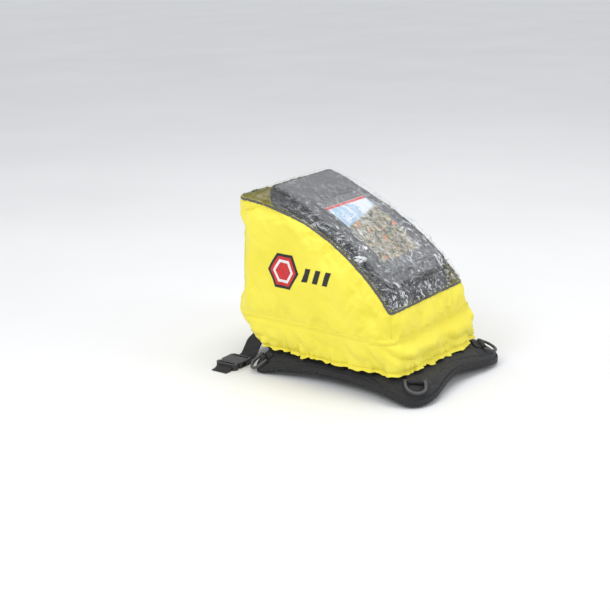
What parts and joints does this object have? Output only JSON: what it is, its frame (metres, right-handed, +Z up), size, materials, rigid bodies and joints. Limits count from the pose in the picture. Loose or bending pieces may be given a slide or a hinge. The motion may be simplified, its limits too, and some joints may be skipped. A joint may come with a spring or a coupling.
{
  "type": "tank bag with rain cover",
  "caption": "Motorcycle tank bag on a padded four-lobed harness, with a curved opening lid, map pocket, fluorescent rain cover with a clear window, D-rings and front straps.",
  "frame": {"origin": "on the floor, under the middle of the harness pad", "axes": "+X towards the rider, -X towards the handlebars, -Y the left side of the motorcycle, +Z up"},
  "size_m": [0.4687, 0.4132, 0.365],
  "materials": {
    "black_pad_fabric": "coated woven nylon, fine matt weave",
    "grip_rubber": "soft non-slip rubber with a fine pattern",
    "foam": "closed-cell foam",
    "black_tape": "ribbed binding and zip tape",
    "black_webbing": "flat nylon webbing",
    "ring_plastic": "moulded acetal, satin",
    "buckle_plastic": "moulded acetal, satin",
    "floor_board": "polypropylene sheet",
    "charcoal_fabric": "heavy woven polyester",
    "lid_fabric": "grey woven polyester",
    "clear_film": "clear soft PVC sheet, glossy and crinkled",
    "map_paper": "printed paper, matt",
    "slider_metal": "die-cast zinc",
    "pull_rubber": "moulded pull",
    "yellow_cover": "thin coated taffeta, fluorescent yellow, slight sheen",
    "badge_print": "red transfer print",
    "stripe_print": "black transfer print"
  },
  "bodies": {
    "harness_and_bag": {"bag_floor_board": "floor_board", "bag_foam_front": "foam", "bag_foam_left": "foam", "bag_foam_rear": "foam", "bag_foam_right": "foam", "bag_panel_front": "charcoal_fabric", "bag_panel_left": "charcoal_fabric", "bag_panel_rear": "charcoal_fabric", "bag_panel_right": "charcoal_fabric", "base_edge_binding": "black_tape", "base_foam_core": "foam", "base_grip_layer": "grip_rubber", "base_top_skin": "black_pad_fabric", "buckle_socket_left": "buckle_plastic", "buckle_socket_right": "buckle_plastic", "front_flap": "black_pad_fabric", "front_strap_left": "black_webbing", "front_strap_right": "black_webbing", "handle_tab_left": "black_webbing", "handle_tab_right": "black_webbing", "ring_tab_front_left": "black_webbing", "ring_tab_front_right": "black_webbing", "ring_tab_rear_left": "black_webbing", "ring_tab_rear_right": "black_webbing", "zip_tape_wall": "black_tape"},
    "lid": {"lid_panel": "lid_fabric", "lid_foam": "foam", "lid_piping": "black_tape", "zip_tape_lid": "black_tape", "map_pocket_frame": "lid_fabric", "map_pocket_window": "clear_film", "folded_map": "map_paper"},
    "rain_cover": {"cover_badge": "badge_print", "cover_panel_front": "yellow_cover", "cover_panel_left": "yellow_cover", "cover_panel_rear": "yellow_cover", "cover_panel_right": "yellow_cover", "cover_skirt": "yellow_cover", "cover_stripes": "stripe_print", "cover_window": "clear_film", "window_binding": "black_tape", "waist_tape": "yellow_cover", "elastic_hem": "yellow_cover"},
    "handle": {"carry_handle": "buckle_plastic"},
    "ring_front_left": {"d_ring_front_left": "ring_plastic"},
    "ring_front_right": {"d_ring_front_right": "ring_plastic"},
    "ring_rear_left": {"d_ring_rear_left": "ring_plastic"},
    "ring_rear_right": {"d_ring_rear_right": "ring_plastic"},
    "plug_left": {"buckle_plug_left": "buckle_plastic", "strap_end_left": "black_webbing"},
    "slider_left": {"zip_slider_left": "slider_metal", "zip_pull_left": "pull_rubber"},
    "plug_right": {"buckle_plug_right": "buckle_plastic", "strap_end_right": "black_webbing"},
    "slider_right": {"zip_slider_right": "slider_metal", "zip_pull_right": "pull_rubber"}
  },
  "joints": [
    {"name": "cover_lift", "type": "slide", "parent": "harness_and_bag", "child": "rain_cover", "axis": [0, 0, 1], "range_m": [0, 0.6]},
    {"name": "lid_open", "type": "hinge", "parent": "harness_and_bag", "child": "lid", "pos_m": [-0.18042, 0, 0.35278], "axis": [0, -1, 0], "range_deg": [0, 34]},
    {"name": "handle_swing", "type": "hinge", "parent": "harness_and_bag", "child": "handle", "pos_m": [-0.1893, 0, 0.25655], "axis": [0, 1, 0], "range_deg": [0, 85]},
    {"name": "ring_swing_front_left", "type": "hinge", "parent": "harness_and_bag", "child": "ring_front_left", "pos_m": [-0.16753, -0.14687, 0.02684], "axis": [-0.7879, 0.6156, -0.0171], "range_deg": [0, 95]},
    {"name": "ring_swing_front_right", "type": "hinge", "parent": "harness_and_bag", "child": "ring_front_right", "pos_m": [-0.16753, 0.14687, 0.02684], "axis": [0.7879, 0.6156, 0.0171], "range_deg": [0, 95]},
    {"name": "ring_swing_rear_left", "type": "hinge", "parent": "harness_and_bag", "child": "ring_rear_left", "pos_m": [0.16544, -0.11792, 0.03963], "axis": [-0.738, -0.6645, 0.1177], "range_deg": [0, 95]},
    {"name": "ring_swing_rear_right", "type": "hinge", "parent": "harness_and_bag", "child": "ring_rear_right", "pos_m": [0.16544, 0.11792, 0.03963], "axis": [0.738, -0.6645, -0.1177], "range_deg": [0, 95]},
    {"name": "plug_release_left", "type": "slide", "parent": "harness_and_bag", "child": "plug_left", "axis": [0.0349, -0.9994, 0], "range_m": [0, 0.034]},
    {"name": "plug_release_right", "type": "slide", "parent": "harness_and_bag", "child": "plug_right", "axis": [0.0349, 0.9994, 0], "range_m": [0, 0.034]},
    {"name": "zip_run_left", "type": "slide", "parent": "lid", "child": "slider_left", "axis": [0, -1, 0], "range_m": [0, 0.054]},
    {"name": "zip_run_right", "type": "slide", "parent": "lid", "child": "slider_right", "axis": [0, 1, 0], "range_m": [0, 0.054]}
  ],
  "couplings": [
    {"joint": "lid_open", "follows": "cover_lift", "rad_per_m": 0.9889},
    {"joint": "zip_run_left", "follows": "cover_lift", "ratio": 0.0899},
    {"joint": "zip_run_right", "follows": "cover_lift", "ratio": 0.0899}
  ]
}
